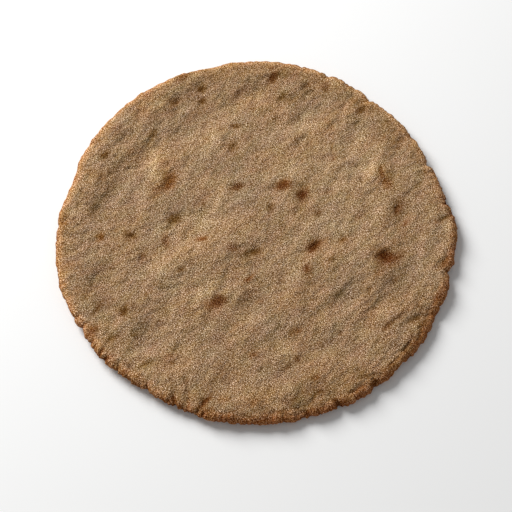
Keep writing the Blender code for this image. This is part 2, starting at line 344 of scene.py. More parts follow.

# Where the griddle has scorched the crust, with painted shade in the grey marks among them.
TOASTED = (
    *marks(
        Tint.BURNT,
        (-45.4, 25.8, 50, 2.2, 1.8, 15, 0.1), (11.6, 25.9, 20, 2.8, 1.7, 42, 0.1),
        (21.9, 21.4, 60, 3.5, 3, 86, 0.25), (28.6, -7, 44, 4.1, 2.2, 86, 0.3),
        (62.4, -10.4, 60, 3.7, 3.2, 72, 0.3), (65.4, -10.2, 0, 3.8, 3, 58, 0.2),
        (69.4, -10.8, 20, 3, 2.5, 26, 0.1), (-16.6, -38.5, 40, 3.7, 3.3, 80, 0.25),
        (4, 88.8, 54, 3.8, 2.1, 88, 0.25), (69.6, 15, 72, 3.2, 1.6, 60, 0.2),
        (-10.8, 24, 30, 3.2, 1.9, 62, 0.2), (-45, -9.6, 84, 2.3, 2, 52, 0.2),
        (25.6, -19.8, 96, 2.6, 1.9, 70, 0.15), (65.3, -47.2, 42, 3.2, 1.5, 62, 0.2),
        (42.4, -52.2, 40, 1.1, 0.8, 35, 0.15), (96.4, 20.4, 95, 3.2, 1.9, 85, 0.3),
        (94, -12.6, 62, 2.4, 1.4, 45, 0.1),
    ),
    *marks(
        Tint.RUST,
        (-45.7, 25.5, 66, 3.9, 2.9, 62, 0.25), (12, 26.1, 22, 4.4, 3.1, 80, 0.2),
        (29, -6.6, 44, 4.7, 2.9, 50, 0.1), (-20.8, -40.9, 25, 3.8, 3, 60, 0.1),
        (2.6, 94, 60, 1.9, 1.5, 45, 0.05), (64.6, 30.4, 134, 3.6, 2.3, 48, 0.2),
        (-12.2, -11.2, 6, 3, 1.6, 38, 0.1), (43, -3, 20, 1.8, 1.1, 25, 0.05),
        (-77.6, -8.4, 80, 2, 1.6, 45, 0.1), (-55.7, -17.2, 80, 2.1, 1.5, 44, 0.1),
        (-27.2, -6.3, 10, 2.3, 1.4, 80, 0.1), (-3.1, -26.6, 54, 2.8, 1.3, 66, 0.1),
        (21.2, -52.4, 24, 3.4, 2.1, 58, 0.15), (60, -20.2, 70, 2.2, 1.8, 35, 0.05),
        (74.2, 8, 50, 1.8, 1.1, 60, 0.1), (31.2, -75.6, 20, 2.6, 1.8, 55, 0.1),
        (22.6, -66.2, 40, 2.3, 1.8, 40, 0.05),
    ),
    *marks(
        Tint.OLIVE,
        (70.3, 17.3, 76, 5.8, 3.2, 42, 0.1), (-12.2, 23, 24, 4.4, 2.2, 46, 0.05),
        (-41.7, 4.1, 24, 4.2, 2.8, 78, 0.25), (-63, -6.4, 8, 3.1, 2.3, 74, 0.25),
        (-1.3, -12.1, 18, 4.7, 1.7, 70, 0.2), (-32.9, 79.8, 28, 2.6, 1.9, 94, 0.25),
        (-32.4, 72.8, 40, 2.3, 1.9, 82, 0.2), (-46.4, 70.6, 50, 3.3, 1.9, 68, 0.2),
        (-79.8, 36.8, 46, 3.2, 1.9, 88, 0.2), (-56.4, 51.2, 60, 3.4, 2, 70, 0.15),
        (-15, 46.9, 64, 3.3, 2, 64, 0.2), (-62.4, -46.8, 62, 2.8, 2, 92, 0.25),
        (50.8, 71.6, 50, 3.2, 1.9, 80, 0.2), (9.2, 77.6, 42, 3.6, 1.5, 80, 0.15),
        (6, 12.9, 30, 2.5, 2.1, 66, 0.15), (30, 10.9, 70, 2.1, 1.5, 68, 0.15),
        (-36.6, -24, 24, 2.1, 1.4, 70, 0.15), (37, -13.6, 42, 2.4, 1.5, 50, 0.05),
        (56, -29.4, 62, 1.8, 1.1, 55, 0.1), (18, -70.6, 50, 2.3, 1.1, 65, 0.15),
        (-28, 13.1, 150, 2, 1.2, 38, 0.1), (-44, -1.2, 20, 1.6, 1, 55, 0.1),
        (-13.6, 58.2, 15, 1.9, 1.1, 46, 0.05), (32.4, 83.2, 75, 2.3, 1.4, 50, 0.1),
        (70.2, 50.2, 40, 1.1, 0.9, 70, 0.15),
    ),
    # Grey: painted shade of small hollows and shaded slopes.
    *marks(
        Tint.GREY_AND_SHADE,
        (-4.6, -15.2, 65, 2.6, 1.1, 45, 0.1), (-46.2, 64.6, 85, 2.6, 1.2, 50, 0.1),
        (-75, 28.6, 60, 4, 1.8, 55, 0.15), (-82, 7.2, 58, 4, 2.4, 75, 0.15),
        (12.7, -50.6, 104, 1.8, 1.2, 55, 0.05), (41.2, -32.4, 62, 3, 2.1, 66, 0.2),
        (-50.2, -40.4, 20, 1.8, 1.2, 60, 0.1), (-56.6, -58.6, 20, 2, 1.4, 60, 0.15),
        (-79.4, -33.8, 40, 1.4, 1, 65, 0.15), (-70.2, -24.2, 45, 1.9, 1.2, 55, 0.1),
        (-12.6, 11, 40, 1.7, 1.2, 45, 0.05), (20.4, 84, 30, 2.8, 1.9, 65, 0.15),
        (23.6, 80.8, 40, 2.2, 1.5, 50, 0.1), (12.6, 3, 20, 1.8, 1.1, 45, 0.05),
        (39, 31.6, 30, 1.4, 1.2, 50, 0.1), (51.8, 31, 80, 1.6, 1.1, 50, 0.1),
        (-58, -67, 30, 1.4, 1, 60, 0.15),
    ),
    *marks(
        Tint.OCHRE,
        (-46, -6.6, 80, 3, 1.8, 50, 0.05), (26.8, -23, 110, 3, 1.8, 40),
        (42.8, -2.7, 30, 2.8, 2, 60, 0.1), (-77.7, -8.3, 70, 2.6, 2.2, 75, 0.1),
        (-27.3, -6.2, 12, 2.8, 1.7, 80, 0.1), (-14.2, 58.2, 15, 3, 1.8, 60, 0.1),
        (-21.4, 56.2, 40, 2.4, 1.5, 50, 0.05), (-28.6, 49.6, 85, 2.2, 1.2, 45, 0.05),
        (-5.6, 69.4, 80, 2.3, 1.3, 55, 0.05),
    ),
    *marks(
        Tint.BLUSH,
        (-39, -69.6, 60, 2.8, 2.2, 45), (-4, 33.2, 20, 2.3, 1.3, 55, 0.05),
    ),
)

# Narrow creases, where the dough folded or split a little under the palm.
CREASES = (
    *marks(
        Tint.BURNT,
        (-20.4, -90.2, 54, 4.2, 1.3, 90, 0.9), (43, -88, 40, 2.6, 0.9, 60, 0.4),
        (67.8, -65.6, 46, 4.4, 0.8, 65, 0.45),
    ),
    *marks(
        Tint.RUST,
        (35.2, 61.6, 118, 3.2, 0.9, 45, 0.25), (37, 42.6, 60, 1.4, 0.8, 60, 0.15),
        (61.6, 36.2, 100, 3.4, 0.8, 70, 0.3), (74.2, -57.6, 62, 4, 0.8, 62, 0.45),
        (79.4, -54.4, 58, 4, 0.8, 60, 0.4), (50.6, -80.4, 30, 4.4, 0.8, 55, 0.35),
        (92.4, -13, 60, 4.2, 0.8, 55, 0.4), (88.4, -33, 68, 4, 0.8, 50, 0.35),
        (15, -93.4, 10, 4, 0.8, 45, 0.35),
    ),
    *marks(
        Tint.OLIVE,
        (56.6, 71.6, 82, 2.8, 0.8, 35, 0.2), (-15.6, -77.4, 56, 7, 0.9, 42, 0.2),
        (-50, -73.6, 34, 4, 0.9, 75, 0.3), (-75.4, -47, 60, 4.2, 1, 75, 0.25),
        (-66.4, -61.6, 42, 4, 1.1, 75, 0.25), (72, -41, 48, 7.5, 1.3, 30, 0.2),
        (77.6, -43.6, 36, 4, 1.2, 62, 0.3), (80.4, -37, 105, 3, 0.9, 45, 0.2),
        (82.4, -46.4, 64, 5, 0.8, 60, 0.45), (30.4, -85.6, 58, 5.6, 0.8, 55, 0.35),
        (33, -82.4, 15, 2.8, 0.9, 40, 0.15), (21.2, -87.2, 40, 3.4, 0.9, 55, 0.3),
        (56, -73.4, 22, 5, 0.8, 60, 0.4), (94, 11.8, 32, 4, 0.9, 80, 0.4), (79.6, 29, 46, 4, 1, 45, 0.2),
    ),
    # Grey: painted shadow along soft folds.
    *marks(
        Tint.GREY_AND_SHADE,
        (48.6, 64, 36, 3.6, 0.9, 65, 0.3), (80.4, 11.6, 52, 3.6, 0.9, 45, 0.15),
        (74.6, -19, 18, 3.6, 0.9, 50, 0.15), (-11.4, 80.4, 36, 9, 2.2, 36, 0.1),
        (17.6, 66.8, 52, 6.5, 2, 40, 0.15),
    ),
    *marks(
        Tint.OCHRE,
        (36.8, 47, 96, 6, 0.9, 40, 0.15), (-52, 15.4, 48, 4, 0.9, 50, 0.1),
    ),
)

# Wide, faint patches: stains of the crust, with painted shade in the grey ones and painted highlight over a
# pale flour tone in the cream ones.
STAINS = (
    *marks(
        Tint.RUST,
        (-47, 22.4, 40, 3.2, 2.2, 45), (-51, 19.4, 55, 4, 1.6, 34), (65, -12, 10, 7.4, 5.2, 40),
        (-98, -1.2, 84, 2.6, 1.4, 30), (-76, -57.6, 50, 3.6, 2.4, 65),
    ),
    *marks(
        Tint.OLIVE,
        (-42.4, 86.6, 32, 3.2, 1.1, 55, 0.1), (74, -50, 55, 7, 3, 12),
    ),
    # Grey: painted shade on the shaded slopes of ridges and in valleys.
    *marks(
        Tint.GREY_AND_SHADE,
        (25, 15.5, 50, 7, 5, 12), (32, 72, 50, 8, 5, 12), (-16, 40, 45, 8, 5, 10),
        (-72, -16, 50, 7, 5, 12), (-57, -48, 60, 9, 6, 14), (-75.6, 18, 62, 9, 3, 35),
        (-66, 40.4, 45, 8, 2.6, 35), (-4.4, -38, 50, 7, 3, 35), (-55, 62.6, 62, 4.6, 2.6, 45),
        (66.4, 50.4, 78, 7, 2.4, 35), (70.4, -22.4, 40, 5.4, 3, 40), (62.4, -34, 46, 5.4, 2.4, 22),
        (-82, -29, 60, 6, 4, 12), (63, -21, 40, 5, 3, 20), (13, 77.5, 40, 5, 3, 30),
        (-42, 72, 50, 8, 5, 12), (-38, 81, 25, 20, 7, 8), (-73, 48, 45, 7, 5, 25),
        (-37.5, 62.5, 45, 6, 4, 25), (57, 59, 40, 8, 4, 20), (33, -80, 30, 8, 4, 18),
        (-16, -56, 50, 7, 4, 18), (40, -24, 50, 6, 4, 18), (72, 32, 60, 6, 4, 16),
        (72, -31, 55, 8, 4, 22), (72, 0, 75, 8, 3.6, 22), (-72, -41, 50, 6, 4, 18),
        (24, 88, -15, 7, 3, 20), (-26, 86, 18, 10, 3.6, 20), (41, 80, -28, 6, 3.6, 24),
        (72, 56, -50, 6, 3.6, 18), (-40, 16, 50, 7, 4, 16), (-1, -17, 40, 6, 3, 16),
        (-16, -25, 50, 6, 4, 14), (40, -56, 50, 6, 4, 14), (80, -31, 55, 6, 3, 14),
        (-57, 71, 45, 6, 3, 15), (-31, 69, 45, 6, 4, 14), (-73, 17, 70, 7, 3, 14),
        (24, -88, 15, 7, 3, 22), (-40, 41, 45, 6, 4, 10), (-37.5, -52.5, 75, 6, 2.4, 15),
        (-67, 3, 45, 7, 4, 22), (-74, -39.5, 15, 6, 2.6, 18), (-56.5, -35, 70, 6, 2.4, 20),
        (9, -1, 60, 13, 2.8, 14), (17, -73, 35, 6, 3.4, 25), (29, -88, 25, 6, 3, 15),
        (32, 43, 50, 4, 2.4, 20), (60, 56, 50, 5, 3, 20),
    ),
    *marks(
        Tint.OCHRE,
        (-47.4, 28, 110, 8.6, 4.4, 42), (-49.6, 34.4, 108, 4.4, 2.2, 40), (64, 33.4, 112, 6.2, 4.2, 50),
        (22, 26.4, 20, 2.8, 2, 45), (-42, 87, 32, 4.4, 1.7, 80, 0.1), (-96, 0.2, 84, 4, 2, 40),
        (40, -78, 28, 24, 11, 18), (-39, 84, 25, 10, 4, 30), (-22, 89.5, 14, 10, 4, 34),
        (-6, 92.5, 4, 9, 3.6, 30), (12, 92, -8, 9, 4, 32), (30, 87, -19, 9, 4.5, 32),
        (62, 66, -47, 10, 4, 22), (-95, 9, 84, 4, 2.2, 20), (0, -89, 4, 14, 4.5, 24),
        (-30, -87, -20, 10, 4, 25), (30, 58, 60, 7, 4, 14), (4, 73, 50, 8, 4, 12),
        (15, -36, 60, 8, 5, 12), (23, 16.4, 80, 3, 2.4, 30), (-53, 24, 80, 6, 3, 20),
        (64, 11, 75, 7, 3, 25), (25, -27, 95, 6, 3.6, 28), (75, -57, 52, 8, 4, 15),
    ),
    *marks(
        Tint.BLUSH,
        (-0.6, -52.8, 10, 3.4, 1.6, 45), (34, -4.4, 60, 3.4, 2.2, 45), (-61, 74.4, 50, 3.4, 1.8, 60),
        (-82.2, 46, 62, 5.4, 2.2, 45),
    ),
    # Cream: a pale flour tone, with painted highlight on lit ridge slopes.
    *marks(
        Tint.CREAM_AND_HIGHLIGHT,
        (27, 62, 30, 9, 6, 32), (-53.8, 31.4, 98, 10, 3, 68), (56, 37.4, 60, 6, 4.8, 85),
        (-24, -34.6, 60, 7, 5, 55), (1, -47.4, 60, 5.6, 3.6, 30), (-72, -57, 50, 6, 4, 35),
        (-70, 41.4, 40, 4, 3.4, 45), (36.4, 85, 120, 4.6, 3.6, 80), (17, -62.5, 119, 6, 3, 25),
        (-22, 53, 39, 18, 4, 35), (57.5, 40, 60, 3, 2.4, 50), (40, 22, 80, 40, 26, 20),
        (-26, 5, 50, 9, 5, 35), (-49, -21, 55, 10, 4, 22), (-17.5, -33, 10, 6, 3, 40),
        (-23, 49, 45, 7, 4, 25), (-30, -61, 60, 8, 4, 20), (-18, -6, 50, 8, 5, 12),
        (-36.5, 2, 35, 12, 5, 44), (-17, 22, 65, 8, 5, 50), (51, 56, 40, 8, 5, 30),
        (-49, 1, 60, 6, 4, 32), (-71, -56, 45, 5, 3, 25), (-32, 39, 45, 8, 5, 12),
        (-55, 42, 50, 6, 4, 22), (61, 18, 75, 7, 3.6, 24), (38, 34, 50, 9, 6, 16),
        (8, 47, 45, 7, 4.6, 16), (-32, -17, 40, 3.4, 2.6, 16), (-42.5, -44.5, 40, 4.4, 3, 35),
        (16, 38, 40, 8, 4.4, 25), (16.6, -14, 60, 10, 4, 30), (43, 5, 55, 11, 5, 36),
        (79, 38, 60, 6, 3, 50), (0, 92, 0, 8, 2.6, 25), (-39.4, -25.6, 55, 6.4, 5, 45),
        (11, 32, 20, 9, 4.6, 42),
    ),
    *marks(
        Tint.ASH,
        (-42, 17, 60, 12, 7, 45), (-57, 54, 50, 14, 7, 35), (-41, 65, 50, 9, 5, 45),
        (-9, 16, 30, 15, 6, 35), (79, -18, 75, 13, 6, 40), (46, -29, 55, 7, 4, 30),
        (-38, -49, 60, 7, 4, 40), (-85, -5, 80, 9, 4, 35), (81, 17, 80, 10, 4, 35),
        (-72, -32, 50, 8, 5, 25), (-72, 14, 70, 12, 5, 35), (-20, -24, 50, 8, 5, 30),
        (-60, -42, 50, 9, 5, 30),
    ),
)


# ---------- the bread


@dataclass(frozen=True)
class PattedForm:
    """The bread's form, in millimetres, as the hand left it: what the fine crust grows on."""

    mean_radius: float = 99.0
    thickness: float = 5.3
    rim_depth: float = 3.8
    rest_radius: float = 80.0
    margin_lift: float = 0.9
    lift_swing: float = 0.5
    lift_swing_azimuth: float = 35.0
    margin_ridge: float = 0.75
    ridge_inset: float = 9.0
    ridge_width: float = 9.0
    ripple_gain: float = 1.40
    patted_lumps: Lumps = Lumps(0.28, 17.0, 0.0)
    fine_lumps: Lumps = Lumps(0.16, 6.5, 40.0)
    rim_lumps: Lumps = Lumps(0.42, 6.0, 80.0)

    def outline_radius(self, azimuth: Array) -> Array:
        """The bread's radius at each azimuth: the round, its swells and flats, and the cracks' notches."""
        radius = np.full_like(azimuth, self.mean_radius)
        for swell in SWELLS:
            radius += swell.at(azimuth)
        for crack in CRACKS:
            off = np.radians(angle_between(azimuth, crack.azimuth)) * self.mean_radius
            radius -= crack.notch * bell(off / crack.width)
        return radius

    def inset(self, x: Array, y: Array) -> Array:
        """How far each place lies inside the outline."""
        return self.outline_radius(azimuth_of(x, y)) - np.hypot(x, y)

    def lift(self, x: Array, y: Array) -> Array:
        """How far the underside has curled up off the griddle, which it does outside the resting face."""
        swing = np.cos(np.radians(2.0 * angle_between(azimuth_of(x, y), self.lift_swing_azimuth)))
        share = (np.hypot(x, y) - self.rest_radius) / (self.mean_radius - self.rest_radius)
        return (self.margin_lift + self.lift_swing * swing) * smooth_step(share)

    def upper_face(self, x: Array, y: Array) -> Array:
        """The height of the upper face over the resting plane, short of the rim's rounding."""
        level = np.zeros_like(x)
        height = self.thickness + self.lift(x, y)
        height += self.margin_ridge * bell((self.inset(x, y) - self.ridge_inset) / self.ridge_width)
        height += self.patted_lumps.at(x, y, level) + self.fine_lumps.at(x, y, level)
        for ripple in RIPPLES:
            height += self.ripple_gain * ripple.height(x, y)
        for hollow in HOLLOWS:
            height -= hollow.sunk(x, y)
        for crack in CRACKS:
            height -= crack.sunk(x, y, self.mean_radius)
        return height

    def rim(self, azimuth: Array, tilt: Array) -> Array:
        """Places on the rim.

        Args:
            azimuth: Where round the bread.
            tilt: 90 degrees where the rim meets the upper face, 0 at its widest and -90 underneath.

        Returns:
            One x, y, z row for each place.
        """
        angle, turn = np.radians(azimuth), np.radians(tilt)
        shoulder = self.outline_radius(azimuth) - self.rim_depth
        x, y = shoulder * np.cos(angle), shoulder * np.sin(angle)
        top, under = self.upper_face(x, y), self.lift(x, y)
        height = (top + under) / 2.0 + (top - under) / 2.0 * np.sin(turn)
        out = (self.rim_depth + self.rim_lumps.at(x, y, 2.0 * height)) * np.cos(turn)
        return np.column_stack((x + out * np.cos(angle), y + out * np.sin(angle), height))

    def face(self, azimuth: Array, share: Array, upper: bool) -> Array:
        """Places on the upper or the under face, at a share of the way out to the rim's start."""
        angle = np.radians(azimuth)
        reach = share * (self.outline_radius(azimuth) - self.rim_depth)
        x, y = reach * np.cos(angle), reach * np.sin(angle)
        return np.column_stack((x, y, self.upper_face(x, y) if upper else self.lift(x, y)))


def turn_of(end: bmesh.types.BMVert) -> float:
    """How far round from +X an end lies, in radians."""
    return math.atan2(end.co.y, end.co.x)


@dataclass(frozen=True)
class DoughDrum:
    """A round drum of unit radius, from z = 0 down to z = -1, divided as the bread's skin will be.

    Attributes:
        upper_divisions: Quads across the upper face.
        under_divisions: Quads across the underside, which shows less.
        wall_steps: Rings of quads down the wall.
        under_reach: Where the underside's grid starts, as a share of the radius.
    """

    upper_divisions: int = 250
    under_divisions: int = 124
    wall_steps: int = 12
    under_reach: float = 0.985

    @property
    def halfway(self) -> float:
        """The radius halfway between the underside's grid and the wall's foot."""
        return (1.0 + self.under_reach) / 2.0

    def round_grid(self, shape: bmesh.types.BMesh, divisions: int, level: float, reach: float) -> None:
        """Lays a square grid at a level and spreads it over a round of radius `reach`."""
        grid = bmesh.ops.create_grid(shape, x_segments=divisions, y_segments=divisions, size=1.0)["verts"]
        for vertex in grid:
            u, v = vertex.co.x, vertex.co.y
            x, y = u * math.sqrt(1.0 - v * v / 2.0), v * math.sqrt(1.0 - u * u / 2.0)
            vertex.co = (x * reach, y * reach, level)

    def open_ring(self, shape: bmesh.types.BMesh, outer: bool) -> list[bmesh.types.BMVert]:
        """The ends round the open edge that lies outside or inside halfway, in order and closed."""
        ends = {end for edge in shape.edges if edge.is_boundary for end in edge.verts}
        side = (end for end in ends if (end.co.xy.length > self.halfway) == outer)
        ring = sorted(side, key=turn_of)
        return ring + ring[:1]

    def stitch(self, shape: bmesh.types.BMesh, *rings: list[bmesh.types.BMVert]) -> None:
        """Joins two closed rings with a band of triangles, each to the next end round."""
        turns = [[turn_of(end) for end in ring] for ring in rings]
        for turn in turns:
            turn[-1:] = (turn[0] + math.tau, math.inf)
        at = [0, 0]
        while at != [len(ring) - 1 for ring in rings]:
            side = 0 if turns[0][at[0] + 1] <= turns[1][at[1] + 1] else 1
            shape.faces.new((rings[0][at[0]], rings[1][at[1]], rings[side][at[side] + 1]))
            at[side] += 1

    def build(self) -> Mesh:
        """The drum as one closed mesh."""
        shape = bmesh.new()
        self.round_grid(shape, self.upper_divisions, 0.0, 1.0)
        ring = self.open_ring(shape, True)
        for step in range(1, self.wall_steps + 1):
            lower = [shape.verts.new((*end.co.xy, -step / self.wall_steps)) for end in ring[:-1]]
            lower.append(lower[0])
            for corners in zip(ring, ring[1:], lower[1:], lower):
                shape.faces.new(corners)
            ring = lower
        self.round_grid(shape, self.under_divisions, -1.0, self.under_reach)
        self.stitch(shape, ring, self.open_ring(shape, False))
        bmesh.ops.recalc_face_normals(shape, faces=shape.faces)
        mesh = bpy.data.meshes.new("roti_crust")
        shape.to_mesh(mesh)
        shape.free()
        return mesh

    def faces_of(self, drum: Array) -> tuple[Array, Array]:
        """Which of the drum's places are on its upper face, and which on its underside."""
        below = (drum[:, 2] < HAIR - 1.0) & (np.hypot(drum[:, 0], drum[:, 1]) < self.halfway)
        return drum[:, 2] > -HAIR, below


@dataclass(frozen=True)
class BakeLayout:
    """Spreads the skin over a unit square: the upper face with the wall round it, and the underside apart.

    Attributes:
        face_radius: The upper face's radius before the wall starts, in millimetres.
        wall_width: How wide the wall is when it is spread out flat, in millimetres.
        upper_centre, upper_radius: The upper disc's place and radius in the square.
        under_centre, under_radius: The underside's.
    """

    face_radius: float = 95.0
    wall_width: float = 11.0
    upper_centre: float = 0.375
    upper_radius: float = 0.37
    under_centre: float = 0.79
    under_radius: float = 0.205

    def spread(self, mesh: Mesh, drum: Array, under: Array) -> None:
        """Adds the map to the skin, from its places on the unit drum."""
        corners = np.empty(len(mesh.loops), np.int32)
        mesh.loops.foreach_get("vertex_index", corners)
        share = np.hypot(drum[:, 0], drum[:, 1])
        way = drum[:, :2] / np.maximum(share, HAIR)[:, None]
        reach = share * self.face_radius - drum[:, 2] * self.wall_width
        reach /= self.face_radius + self.wall_width
        upper_map = self.upper_centre + way * reach[:, None] * self.upper_radius
        under_map = self.under_centre + way * share[:, None] * self.under_radius
        below = np.zeros(len(mesh.loops), bool)
        for face in mesh.polygons:
            loops = range(face.loop_start, face.loop_start + face.loop_total)
            below[loops] = under[corners[loops]].any()
        flat = np.where(below[:, None], under_map[corners], upper_map[corners])
        layer = mesh.uv_layers.new(name="OFBake")
        layer.data.foreach_set("uv", flat.astype(np.float32).ravel())


def read_rows(mesh: Mesh, name: str) -> Array:
    """The places ("co") or normals ("normal") of the mesh's vertices, as x, y, z rows."""
    flat = np.empty(len(mesh.vertices) * 3, np.float32)
    mesh.vertices.foreach_get(name, flat)
    return flat.reshape(-1, 3).astype(float)


def write_places(mesh: Mesh, places: Array) -> None:
    """Moves the mesh's vertices to x, y, z rows."""
    mesh.vertices.foreach_set("co", places.astype(np.float32).ravel())
    mesh.update()


def paint(mesh: Mesh, name: str, values: Array) -> None:
    """Stores one value for each vertex, for a material to read by name."""
    layer = mesh.attributes.new(name, "FLOAT", "POINT")
    layer.data.foreach_set("value", values.astype(np.float32))


@dataclass(frozen=True)
class RimCracks:
    """The short cracks that dry dough opens all round its edge as it is patted out.

    Attributes:
        count: How many there are.
        seed: Starts the random draw of their sizes.
        span: The azimuths between which they lie.
        reach, skew, width, depth: The least and the most of each, in millimetres and degrees.
        jitter: Where a crack may lie in its own share of the span.
        reach_power, depth_power: The powers that make small cracks more usual than large ones.
    """

    count: int = 130
    seed: int = 7
    span: Span = (0.0, 360.0)
    reach: Span = (1.2, 7.0)
    skew: Span = (-35.0, 35.0)
    width: Span = (0.45, 0.95)
    depth: Span = (0.25, 0.95)
    jitter: Span = (0.05, 0.95)
    reach_power: float = 2.2
    depth_power: float = 1.5

    def drawn(self) -> list[Crack]:
        """The cracks, each at its own azimuth."""
        draw = random.Random(self.seed)
        start, end = self.span
        cracks = []
        for number in range(self.count):
            azimuth = start + (number + draw.uniform(*self.jitter)) * (end - start) / self.count
            reach = between(self.reach, draw.random() ** self.reach_power)
            depth = between(self.depth, draw.random() ** self.depth_power)
            cracks.append(Crack(azimuth, reach, draw.uniform(*self.skew), draw.uniform(*self.width), depth))
        return cracks

    def depth_at(self, x: Array, y: Array, radius: float, sway: Array) -> Array:
        """How deep the cracks are at each place."""
        depth = np.zeros_like(x)
        for crack in self.drawn():
            depth = np.maximum(depth, crack.depth * crack.split(x, y, radius, crack.width, sway))
        return depth


@dataclass(frozen=True)
class Freckles:
    """The many faint specks and pinholes that lie between the toasted spots.

    Attributes:
        count: How many there are.
        seed: Starts the random draw.
        spread, inner: How far out they lie at most and at least, in millimetres.
        size: The least and the most that one reaches to its sides, in millimetres.
        longer: The least and the most times that it is longer along its heading.
        heading: The mean of their headings, and how far these stray from it.
        depth, strength: The least and the most depth of one's pinhole, in millimetres, and tint.
        tints: The tints that they have, the commonest repeated.
    """

    count: int
    seed: int
    spread: float = 93.0
    inner: float = 0.0
    size: Span = (0.7, 1.6)
    longer: Span = (1.0, 2.0)
    heading: Span = (42.0, 25.0)
    depth: Span = (0.05, 0.22)
    strength: Span = (0.08, 0.34)
    # The grey tint is a grey tone with painted shade.
    tints: tuple[Tint, ...] = (Tint.GREY_AND_SHADE, Tint.OLIVE, Tint.GREY_AND_SHADE, Tint.RUST, Tint.OCHRE, Tint.BLUSH)

    def drawn(self) -> tuple[Mark, ...]:
        """The specks, spread evenly by area."""
        draw = random.Random(self.seed)
        specks = []
        for _ in range(self.count):
            out = math.sqrt(self.inner**2 + (self.spread**2 - self.inner**2) * draw.random())
            angle = draw.uniform(0.0, math.tau)
            width = draw.uniform(*self.size)
            length = width * draw.uniform(*self.longer)
            heading, depth = draw.gauss(*self.heading), draw.uniform(*self.depth)
            strength, tint = draw.uniform(*self.strength), draw.choice(self.tints)
            x, y = out * math.cos(angle), out * math.sin(angle)
            specks.append(Mark(x, y, heading, length, width, strength, tint, depth))
        return tuple(specks)


@dataclass(frozen=True)
class Coat:
    """Marks of one kind.

    Attributes:
        marks: The marks.
        power: How sharply their tints end: 2 is soft, and 3 crisper.
        wander: How far their outlines wander, as a share of the bread's warp.
    """

    marks: tuple[Mark, ...]
    power: float = 2.0
    wander: float = 1.0


@dataclass(frozen=True)
class RimBake:
    """How the rim is coloured: pale where it stayed floury, toasted at its outermost lip, and darker on the
    side away from the key light, where toasting and painted shade are laid together.

    Attributes:
        pale_share, pale_start, pale_inset: How far it is pale, and how that fades inwards, in millimetres.
        brown_inset: How far in from the edge the shaded side's darker band reaches.
        lip_share, lip_inset: How brown the outermost lip is elsewhere, and how far in that reaches.
        shaded_azimuth, shaded_start: The middle of the side away from the key light, and how far past
            square to it the painted shade starts.
        under_share: How much of all this the underside has.
        wander: How far its bounds wander, as a share of the bread's warp.
    """

    pale_share: float = 0.85
    pale_start: float = 1.15
    pale_inset: float = 5.5
    brown_inset: float = 6.5
    lip_share: float = 0.60
    lip_inset: float = 1.5
    shaded_azimuth: float = 308.0
    shaded_start: float = 0.05
    under_share: float = 0.6
    wander: float = 0.8

    def apply(self, mesh: Mesh, azimuth: Array, inset: Array, under: Array) -> None:
        """Paints the rim's two tints on the mesh."""
        pale = self.pale_share * smooth_step(self.pale_start - inset / self.pale_inset)
        dark = smooth_step(1.0 - inset / self.brown_inset)
        lip = self.lip_share * smooth_step(1.0 - inset / self.lip_inset)
        # Share of the side away from the key light: there the rim gets painted shade as well as toasting,
        # and no pale tint.
        brown = smooth_step(self.shaded_start + facing(azimuth, self.shaded_azimuth))
        share = np.where(under, self.under_share, 1.0)
        paint(mesh, "rim_peach", share * pale * (1.0 - brown))
        paint(mesh, "rim_brown_and_shade", share * (dark * brown + lip * (1.0 - brown)))


